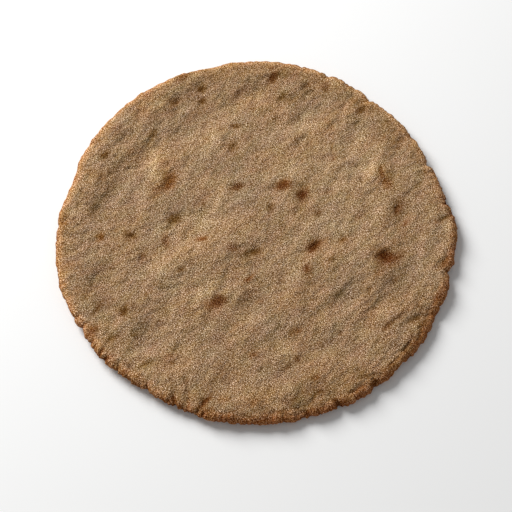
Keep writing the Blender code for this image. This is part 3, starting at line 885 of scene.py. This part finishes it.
@dataclass(frozen=True)
class Roti:
    """The bread: its form, the mealy relief that grows on it, and where it is toasted.

    Attributes:
        form, drum, layout: Its patted form, the mesh that is laid on that, and the mesh's flat map.
        rim_cracks, close_cracks: The small cracks all round, and closer ones in three stretches.
        freckles, smudges, under_freckles: Specks of the upper face, of its margin and of the underside.
        waves: Relief of the whole crust, from the palm's streaks down to the meal.
        crumble, crumble_inset: Relief of the edge and the rim, and how far in from the edge it reaches.
        least_rough, rough_share, rough_azimuth: How far the edge crumbles at least, how widely it does
            so more, and where it does so most.
        warp, warp_gap: How far a mark's outline wanders, and how far its two patterns lie apart.
        sway, small_sway: How far a crack wanders, and how much of that a small crack does.
        split_width, split_depth: The narrow split in the middle of a large crack.
        split_tint, tint_depth: How far the deepest splits have browned, and how deep those are.
        long_reach: Cracks that reach further in than this are split less deeply.
        cracked, least_cracked: Where the edge is cracked more, and how far it is cracked elsewhere.
        crevices, crevice_stretch, crevice_inset, crevice_band: Crevices along the edge, how many times
            longer than wide they are, and how far in from the edge their band lies and reaches.
        foot: The height below which splits and crevices fade out.
        under_hollow, hollow_inset, hollow_start: How far the underside stands back between its high places,
            and how far in from the edge that grows and starts.
        edge_top, edge_reach: Where the meal's pattern is let out: below a height, and near the edge.
    """

    form: PattedForm = PattedForm()
    drum: DoughDrum = DoughDrum()
    layout: BakeLayout = BakeLayout()
    rim_cracks: RimCracks = RimCracks()
    close_cracks: tuple[RimCracks, ...] = (
        RimCracks(24, 11, (219.0, 258.0), (1.8, 5.5), width=(0.45, 0.80), depth=(0.45, 1.15)),
        RimCracks(24, 17, (12.0, 74.0), (1.5, 5.0), width=(0.45, 0.80), depth=(0.4, 1.0)),
        RimCracks(20, 19, (262.0, 345.0), (1.5, 4.0), width=(0.45, 0.80), depth=(0.4, 1.0)),
    )
    freckles: Freckles = Freckles(170, 3)
    smudges: Freckles = Freckles(
        150,
        9,
        spread=97.5,
        inner=88.5,
        size=(1.2, 2.6),
        depth=(0.0, 0.15),
        strength=(0.15, 0.5),
        # Grey and cream carry painted shade and painted highlight over their tones.
        tints=(Tint.CREAM_AND_HIGHLIGHT, Tint.OCHRE, Tint.BLUSH, Tint.CREAM_AND_HIGHLIGHT, Tint.OCHRE, Tint.GREY_AND_SHADE),
    )
    under_freckles: Freckles = Freckles(120, 5, size=(1.2, 4.2), strength=(0.3, 0.9))
    rim_bake: RimBake = RimBake()
    waves: tuple[Lumps, ...] = (
        Lumps(0.50, 7.0, 120.0, 1.3, 62.0),
        Lumps(0.38, 3.4, 160.0, 1.3, 44.0),
        Lumps(0.36, 1.8, 200.0, 1.6, 36.0),
    )
    crumble: tuple[Lumps, ...] = (Lumps(0.38, 4.6, 240.0), Lumps(0.42, 2.3, 280.0), Lumps(0.34, 1.3, 320.0))
    crumble_inset: float = 4.0
    least_rough: float = 0.3
    rough_share: float = 0.8
    rough_azimuth: float = 310.0
    warp: tuple[Lumps, ...] = (Lumps(1.3, 3.2, 360.0), Lumps(0.6, 1.4, 400.0))
    warp_gap: float = 20.0
    sway: Lumps = Lumps(1.1, 2.6, 440.0)
    small_sway: float = 0.35
    split_width: float = 0.75
    split_depth: float = 0.9
    split_tint: float = 0.75
    tint_depth: float = 0.7
    long_reach: float = 8.0
    cracked: tuple[Stretch, ...] = (Stretch(232, 38, 0.70), Stretch(50, 30, 0.35), Stretch(310, 35, 0.30))
    least_cracked: float = 0.30
    crevices: Lumps = Lumps(0.60, 1.7, 480.0)
    crevice_stretch: float = 4.0
    crevice_inset: float = 3.0
    crevice_band: float = 2.6
    foot: float = 2.2
    under_hollow: float = 0.15
    hollow_inset: float = 14.0
    hollow_start: float = 0.3
    edge_top: float = 5.5
    edge_reach: float = 8.0

    def build(self) -> bpy.types.Object:
        """Models the bread, fits it to the frame's node and returns it."""
        mesh = self.drum.build()
        drum = read_rows(mesh, "co")
        azimuth, share = azimuth_of(drum[:, 0], drum[:, 1]), np.hypot(drum[:, 0], drum[:, 1])
        upper, under = self.drum.faces_of(drum)
        wall = ~(upper | under)
        places = np.empty_like(drum)
        places[upper] = self.form.face(azimuth[upper], share[upper], True)
        places[under] = self.form.face(azimuth[under], share[under], False)
        places[wall] = self.form.rim(azimuth[wall], 90.0 + 180.0 * drum[wall, 2])
        self.layout.spread(mesh, drum, under)
        write_places(mesh, places)
        splits = self.splits(places)
        relief = self.relief(places, under) - splits
        self.dress(mesh, places, under, relief, splits)
        places += read_rows(mesh, "normal") * relief[:, None]
        places[:, 2] = np.maximum(places[:, 2], 0.0)
        write_places(mesh, self.fitted(places))
        mesh.shade_smooth()
        piece = bpy.data.objects.new("roti_crust", mesh)
        bpy.context.scene.collection.objects.link(piece)
        return piece

    def relief(self, places: Array, under: Array) -> Array:
        """How far the crust stands out of the patted form at each place, along its normal."""
        x, y, z = places.T
        azimuth, inset = azimuth_of(x, y), self.form.inset(x, y)
        rough = self.roughness(azimuth)
        crumbled = bell(np.maximum(inset, 0.0) / self.crumble_inset) * rough
        relief = piled(self.waves, x, y, z) + crumbled * piled(self.crumble, x, y, z)
        along = np.radians(azimuth) * self.form.mean_radius / self.crevice_stretch
        band = bell((inset - self.crevice_inset) / self.crevice_band)
        relief += self.crevices.at(along, inset, z) * band * rough * smooth_step(z / self.foot)
        stood_back = smooth_step(inset[under] / self.hollow_inset - self.hollow_start)
        relief[under] -= self.under_hollow * stood_back
        return relief

    def roughness(self, azimuth: Array) -> Array:
        """How far the edge crumbles: little on the side that the palm turned last, and fully across."""
        share = smooth_step(self.rough_share * (1.0 + facing(azimuth, self.rough_azimuth)))
        return between((self.least_rough, 1.0), share)

    def splits(self, places: Array) -> Array:
        """How deep the cracks' narrow splits are at each place."""
        x, y, z = places.T
        radius = self.form.mean_radius
        sway = self.sway.at(x, y, np.zeros_like(z))
        azimuth = azimuth_of(x, y)
        cracked = self.least_cracked + sum(stretch.at(azimuth) for stretch in self.cracked)
        splits = cracked * self.rim_cracks.depth_at(x, y, radius, self.small_sway * sway)
        for cracks in self.close_cracks:
            splits = np.maximum(splits, cracks.depth_at(x, y, radius, self.small_sway * sway))
        for crack in CRACKS:
            depth = self.split_depth * crack.depth * min(1.0, self.long_reach / crack.reach)
            splits += depth * crack.split(x, y, radius, self.split_width, sway)
        return splits * smooth_step(z / self.foot)

    def coats(self) -> tuple[Coat, ...]:
        """The marks of the upper face and the rim, kind by kind."""
        specks = self.freckles.drawn() + self.smudges.drawn()
        return Coat(STAINS), Coat(specks), Coat(TOASTED, power=3.0, wander=0.55), Coat(CREASES, wander=0.5)

    def dress(self, mesh: Mesh, places: Array, under: Array, relief: Array, splits: Array) -> None:
        """Sinks the marks into the relief, and paints all tints on the mesh."""
        middle = (places.min(0) + places.max(0)) / 2.0
        x, y, z = (places - (middle[0], middle[1], 0.0)).T
        level = np.zeros_like(z)
        across, up = (piled(self.warp, x, y, level + gap) for gap in (0.0, self.warp_gap))
        clear = {tint: np.ones(len(places)) for tint in Tint}
        clear[Tint.RUST] -= self.split_tint * smooth_step(splits / self.tint_depth)
        for coat in self.coats():
            for mark in coat.marks:
                off = mark.off(x + coat.wander * across, y + coat.wander * up)
                relief[~under] -= (mark.depth * bell(off))[~under]
                clear[mark.tint][~under] *= (1.0 - mark.strength * np.exp(-(off**coat.power)))[~under]
        for mark in self.under_freckles.drawn():
            off = mark.off(x + across, y + up)
            clear[mark.tint][under] *= (1.0 - mark.strength * bell(off))[under]
        for tint, left in clear.items():
            paint(mesh, tint.value, 1.0 - left)
        x, y = places[:, 0] + self.rim_bake.wander * across, places[:, 1] + self.rim_bake.wander * up
        self.rim_bake.apply(mesh, azimuth_of(x, y), self.form.inset(x, y), under)
        self.let_out(mesh, places)

    def let_out(self, mesh: Mesh, places: Array) -> None:
        """Paints how far the meal's flat pattern is let out, so that no stripes run down the edge."""
        x, y, z = places.T
        near = smooth_step(1.0 - self.form.inset(x, y) / self.edge_reach)
        paint(mesh, "let_out", np.maximum(self.edge_top - z, 0.0) * near / np.maximum(np.hypot(x, y), 1.0))

    def fitted(self, places: Array) -> Array:
        """The places in metres, with the outline's bounds centred on the frame's node."""
        low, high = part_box(NODE)
        fitted = places * MM
        middle = (fitted.min(0) + fitted.max(0)) / 2.0
        fitted[:, 0] += (low.x + high.x) / 2.0 - middle[0]
        fitted[:, 1] += (low.y + high.y) / 2.0 - middle[1]
        return fitted


# ---------- finishes


@dataclass
class NodeBench:
    """A short way to lay out and join shader nodes in one tree, in columns of so many rows."""

    tree: bpy.types.NodeTree
    column: int = 0
    rows: int = 4
    pitch: tuple[int, int] = (200, 160)

    def add(self, kind: str, **settings: object) -> bpy.types.Node:
        """Adds a node, sets its properties and moves on to the next column."""
        node = self.tree.nodes.new(kind)
        node.location = (self.column * self.pitch[0], -(self.column % self.rows) * self.pitch[1])
        self.column += 1
        for name, value in settings.items():
            setattr(node, name, value)
        return node

    def feed(self, node: bpy.types.Node, inputs: dict[str | int, object]) -> None:
        """Sets inputs by name or number: a socket is linked, and anything else is the input's value."""
        for name, value in inputs.items():
            socket = node.inputs[name]
            if isinstance(value, Socket):
                self.tree.links.new(value, socket)
            else:
                socket.default_value = value

    def math(self, operation: str, *terms: object, clamp: bool = False) -> Socket:
        """The result of one sum on values or sockets."""
        node = self.add("ShaderNodeMath", operation=operation, use_clamp=clamp)
        self.feed(node, dict(enumerate(terms)))
        return node.outputs[0]

    def vector(self, operation: str, first: object, second: object) -> Socket:
        """The result of one sum on vectors or colours."""
        node = self.add("ShaderNodeVectorMath", operation=operation)
        self.feed(node, {0: first, 3 if operation == "SCALE" else 1: second})
        return node.outputs[0]

    def blend(self, share: object, first: object, second: object) -> Socket:
        """Two colours mixed by a share."""
        node = self.add("ShaderNodeMix", data_type="RGBA")
        self.feed(node, {0: share, 6: first, 7: second})
        return node.outputs[2]

    def gamma(self, colour: object, power: float) -> Socket:
        """A colour with each channel raised to a power."""
        node = self.add("ShaderNodeGamma")
        self.feed(node, {0: colour, 1: power})
        return node.outputs[0]

    def red(self, colour: object) -> Socket:
        """A colour's first channel."""
        node = self.add("ShaderNodeSeparateColor")
        self.feed(node, {0: colour})
        return node.outputs[0]

    def value(self, name: str) -> Socket:
        """A value that was painted on the mesh."""
        return self.add("ShaderNodeAttribute", attribute_name=name).outputs["Fac"]

    def noise(self, place: object, scale: object, detail: float = 0.0) -> Socket:
        """A noise about 0, with `scale` patches to a metre."""
        node = self.add("ShaderNodeTexNoise", noise_dimensions="2D")
        self.feed(node, {"Vector": place, "Scale": scale, "Detail": detail})
        return self.math("SUBTRACT", node.outputs[0], 0.5)

    def stretched(self, place: object, heading: float, stretch: float) -> Socket:
        """Places squeezed along a heading, so that a pattern comes out drawn out along it."""
        turn = self.add("ShaderNodeMapping")
        self.feed(turn, {"Vector": place, "Rotation": (0.0, 0.0, -math.radians(heading))})
        squeeze = self.add("ShaderNodeMapping")
        self.feed(squeeze, {"Vector": turn.outputs[0], "Scale": (1.0 / stretch, 1.0, 1.0)})
        return squeeze.outputs[0]


class EffectGroup:
    """A shader node group under construction, with named inputs and value outputs."""

    def __init__(self, name: str, numbers: dict[str, float], results: tuple[str, ...]) -> None:
        """Starts the group.

        Args:
            name: The group's name.
            numbers: Its number inputs, with their usual values. It also takes a Vector.
            results: The names of its outputs.
        """
        self.tree = bpy.data.node_groups.new(name, "ShaderNodeTree")
        sockets = self.tree.interface
        sockets.new_socket("Vector", in_out="INPUT", socket_type="NodeSocketVector")
        for label, usual in numbers.items():
            socket = sockets.new_socket(label, in_out="INPUT", socket_type="NodeSocketFloat")
            socket.default_value = usual
        for label in results:
            sockets.new_socket(label, in_out="OUTPUT", socket_type="NodeSocketFloat")
        self.bench = NodeBench(self.tree)
        self.given = self.bench.add("NodeGroupInput").outputs
        self.out = self.bench.add("NodeGroupOutput")


@dataclass(frozen=True)
class CoarseMeal:
    """Coarse flour baked into a crust: how light or dark it is about 0, and how high it stands about 0.

    Attributes:
        crumbs, clumps, grains: How many of each there are to a metre.
        heading, stretch: Where they are drawn out to, and how many times longer that makes them.
        grain_share: How much a single grain adds to the shade of its clump.
        clump_share: How much of their height the clumps add to the crumbs'.
    """

    crumbs: float = 1500.0
    clumps: float = 2650.0
    grains: float = 4200.0
    heading: float = 40.0
    stretch: float = 1.4
    grain_share: float = 0.35
    clump_share: float = 0.25

    def group(self) -> bpy.types.NodeTree:
        """Builds the node group."""
        counts = {"Crumbs": self.crumbs, "Clumps": self.clumps, "Grains": self.grains}
        group = EffectGroup("coarse meal", counts, ("Shade", "Height"))
        bench, given = group.bench, group.given
        drawn = bench.stretched(given["Vector"], self.heading, self.stretch)
        grain = bench.add("ShaderNodeTexVoronoi", voronoi_dimensions="2D")
        bench.feed(grain, {"Vector": drawn, "Scale": given["Grains"]})
        pick = bench.math("SUBTRACT", bench.red(grain.outputs["Color"]), 0.5)
        single = bench.math("MULTIPLY", pick, self.grain_share)
        clump = bench.noise(drawn, given["Clumps"])
        crumb = bench.noise(drawn, given["Crumbs"])
        height = bench.math("ADD", crumb, bench.math("MULTIPLY", clump, self.clump_share))
        bench.feed(group.out, {"Shade": bench.math("ADD", single, clump), "Height": height})
        return group.tree


@dataclass(frozen=True)
class GriddleMottle:
    """The uneven tinge of dough that met the griddle unevenly: values for warmth, flour and pinkness.

    Attributes:
        patches: How many patches there are to a metre.
        heading, stretch: Where they are drawn out to, and how many times longer that makes them.
        flour, blush: Where the pattern of each starts, and how many times as many patches it has.
    """

    patches: float = 75.0
    heading: float = 45.0
    stretch: float = 1.6
    flour: tuple[Triple, float] = ((0.31, 0.17, 0.05), 2.1)
    blush: tuple[Triple, float] = ((0.53, 0.71, 0.05), 2.4)

    def group(self) -> bpy.types.NodeTree:
        """Builds the node group."""
        group = EffectGroup("griddle mottle", {"Patches": self.patches}, ("Warmth", "Flour", "Blush"))
        bench, patches = group.bench, group.given["Patches"]
        drawn = bench.stretched(group.given["Vector"], self.heading, self.stretch)
        found = {"Warmth": bench.noise(drawn, patches)}
        for name, (shift, times) in (("Flour", self.flour), ("Blush", self.blush)):
            moved = bench.vector("ADD", drawn, shift)
            found[name] = bench.noise(moved, bench.math("MULTIPLY", patches, times), 1.0)
        bench.feed(group.out, found)
        return group.tree


def shares(colour: Colour) -> tuple[float, float, float, float]:
    """A screen colour, 0 to 255 a channel, as shares of full brightness."""
    red, green, blue = colour
    return (red / 255.0, green / 255.0, blue / 255.0, 1.0)


@dataclass(frozen=True)
class CrustFinish:
    """The baked sorghum crust, tinted by its marks, with its meal showing as light and dark grains.

    Colours are as the eye sees them in full light, 0 to 255 a channel. They are mixed as such, and turned
    into the shader's linear ones at the end. A tint covers those listed before it.
    """

    warm: Colour = (151, 114, 73)
    cool: Colour = (142, 113, 81)
    tints: tuple[tuple[str, Colour], ...] = (
        ("rim_peach", (171, 121, 69)),
        # Toasted rim, with painted shade on the side away from the key light.
        ("rim_brown_and_shade", (139, 82, 35)),
        (Tint.ASH.value, (141, 117, 91)),
        # Pale flour tone, with painted highlight on lit ridge slopes.
        (Tint.CREAM_AND_HIGHLIGHT.value, (182, 149, 103)),
        (Tint.OCHRE.value, (126, 84, 37)),
        (Tint.BLUSH.value, (146, 101, 62)),
        # Grey tone, with painted shade on shaded slopes, valleys and soft folds.
        (Tint.GREY_AND_SHADE.value, (92, 65, 34)),
        (Tint.OLIVE.value, (82, 49, 10)),
        (Tint.RUST.value, (94, 47, 5)),
        (Tint.BURNT.value, (74, 34, 0)),
    )
    meal: CoarseMeal = CoarseMeal()
    mottle: GriddleMottle = GriddleMottle()
    mottle_strength: float = 1.2
    flour_strength: float = 0.16
    grain_strength: float = 1.72
    grain_tinge: Triple = (0.98, 1.0, 1.07)
    pinkness: Triple = (0.014, -0.025, 0.012)
    darkest: Triple = (0.02, 0.01, 0.0)
    bump_depth: float = 0.00019
    roughness: float = 0.95
    specular: float = 0.06

    def material(self) -> bpy.types.Material:
        """Builds the crust's material."""
        material = bpy.data.materials.new("jowar_crust")
        material.use_nodes = True
        bench = NodeBench(material.node_tree)
        shader = material.node_tree.nodes["Principled BSDF"]
        place = bench.add("ShaderNodeTexCoord").outputs["Object"]
        place = bench.vector("SCALE", place, bench.math("ADD", bench.value("let_out"), 1.0))
        meal = bench.add("ShaderNodeGroup", node_tree=self.meal.group())
        mottle = bench.add("ShaderNodeGroup", node_tree=self.mottle.group())
        bench.feed(meal, {"Vector": place})
        bench.feed(mottle, {"Vector": place})
        found = mottle.outputs
        warmth = bench.math("MULTIPLY_ADD", found["Warmth"], self.mottle_strength, 0.5, clamp=True)
        colour = bench.blend(warmth, shares(self.cool), shares(self.warm))
        for name, tint in self.tints:
            colour = bench.blend(bench.value(name), colour, shares(tint))
        grain = bench.math("MULTIPLY", meal.outputs["Shade"], self.grain_strength)
        shade = bench.math("ADD", grain, bench.math("MULTIPLY", found["Flour"], self.flour_strength))
        step = bench.vector("SCALE", self.grain_tinge, bench.math("MULTIPLY", shade, bench.red(colour)))
        colour = bench.vector("ADD", colour, bench.vector("SCALE", self.pinkness, found["Blush"]))
        colour = bench.vector("MAXIMUM", bench.vector("ADD", colour, step), self.darkest)
        bump = bench.add("ShaderNodeBump")
        bench.feed(bump, {"Height": meal.outputs["Height"], "Distance": self.bump_depth})
        bench.feed(shader, {"Base Color": bench.gamma(colour, EYE_GAMMA), "Normal": bump.outputs[0]})
        bench.feed(shader, {"Roughness": self.roughness, "Specular IOR Level": self.specular})
        return material


# ---------- studio


@dataclass(frozen=True)
class Studio:
    """A pale floor, one large soft light from the upper left, a bright room and the camera."""

    floor_size: float = 4.0
    floor_colour: tuple[float, ...] = (0.93, 0.93, 0.925, 1.0)
    floor_roughness: float = 0.9
    floor_specular: float = 0.1
    key_size: float = 0.80
    key_distance: float = 1.3
    key_azimuth: float = 138.0
    key_elevation: float = 36.0
    key_power: float = 22.6
    room_light: float = 0.285
    lens: float = 85.0
    sensor: float = 36.0
    nearest: float = 0.01
    aim: Triple = (-0.0002, -0.01299, 0.0025)
    distance: float = 0.6001
    elevation: float = 66.3
    roll: float = 3.0

    def floor(self) -> None:
        """Lays the floor that the bread rests on."""
        shape = bmesh.new()
        bmesh.ops.create_grid(shape, x_segments=1, y_segments=1, size=self.floor_size / 2.0)
        mesh = bpy.data.meshes.new("floor")
        shape.to_mesh(mesh)
        shape.free()
        material = bpy.data.materials.new("floor_paint")
        material.use_nodes = True
        shader = material.node_tree.nodes["Principled BSDF"]
        shader.inputs["Base Color"].default_value = self.floor_colour
        shader.inputs["Roughness"].default_value = self.floor_roughness
        shader.inputs["Specular IOR Level"].default_value = self.floor_specular
        mesh.materials.append(material)
        floor = bpy.data.objects.new("floor", mesh)
        bpy.context.scene.collection.objects.link(floor)

    def lights(self) -> None:
        """Hangs the key light and lights the room."""
        azimuth, elevation = math.radians(self.key_azimuth), math.radians(self.key_elevation)
        across = math.cos(elevation)
        towards = Vector((math.cos(azimuth) * across, math.sin(azimuth) * across, math.sin(elevation)))
        lamp = bpy.data.lights.new("key", "AREA")
        lamp.shape = "DISK"
        lamp.size = self.key_size
        lamp.energy = self.key_power
        key = bpy.data.objects.new("key", lamp)
        key.location = towards * self.key_distance
        key.rotation_euler = towards.to_track_quat("Z", "Y").to_euler()
        bpy.context.scene.collection.objects.link(key)
        world = bpy.data.worlds.new("room")
        world.use_nodes = True
        background = world.node_tree.nodes["Background"]
        background.inputs["Color"].default_value = (1.0, 1.0, 1.0, 1.0)
        background.inputs["Strength"].default_value = self.room_light
        bpy.context.scene.world = world

    def camera(self) -> None:
        """Sets up the camera at the viewing angle, rolled a little."""
        elevation, roll = math.radians(self.elevation), math.radians(self.roll)
        forward = Vector((0.0, math.cos(elevation), -math.sin(elevation)))
        level = Vector((1.0, 0.0, 0.0))
        upward = level.cross(forward)
        right = level * math.cos(roll) + upward * math.sin(roll)
        above = upward * math.cos(roll) - level * math.sin(roll)
        data = bpy.data.cameras.new("camera")
        data.lens = self.lens
        data.sensor_width = self.sensor
        data.clip_start = self.nearest
        camera = bpy.data.objects.new("camera", data)
        turn = Matrix((right, above, -forward)).transposed().to_4x4()
        camera.matrix_world = Matrix.Translation(Vector(self.aim) - forward * self.distance) @ turn
        bpy.context.scene.collection.objects.link(camera)
        bpy.context.scene.camera = camera

    def build(self) -> None:
        """Sets up everything round the bread."""
        self.floor()
        self.lights()
        self.camera()
        bpy.context.scene.view_settings.view_transform = "Standard"


def main() -> None:
    """Builds the bread and the studio."""
    logging.basicConfig(level=logging.INFO, format="%(name)s: %(message)s")
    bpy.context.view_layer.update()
    piece = Roti().build()
    piece.data.materials.append(CrustFinish().material())
    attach(piece, "root")
    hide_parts(NODE)
    LOG.info("%s: %d vertices, %d faces", piece.name, len(piece.data.vertices), len(piece.data.polygons))
    Studio().build()
    LOG.info("studio set up")
    bpy.context.view_layer.update()
    LOG.info("size written")


if __name__ == "__main__":
    main()
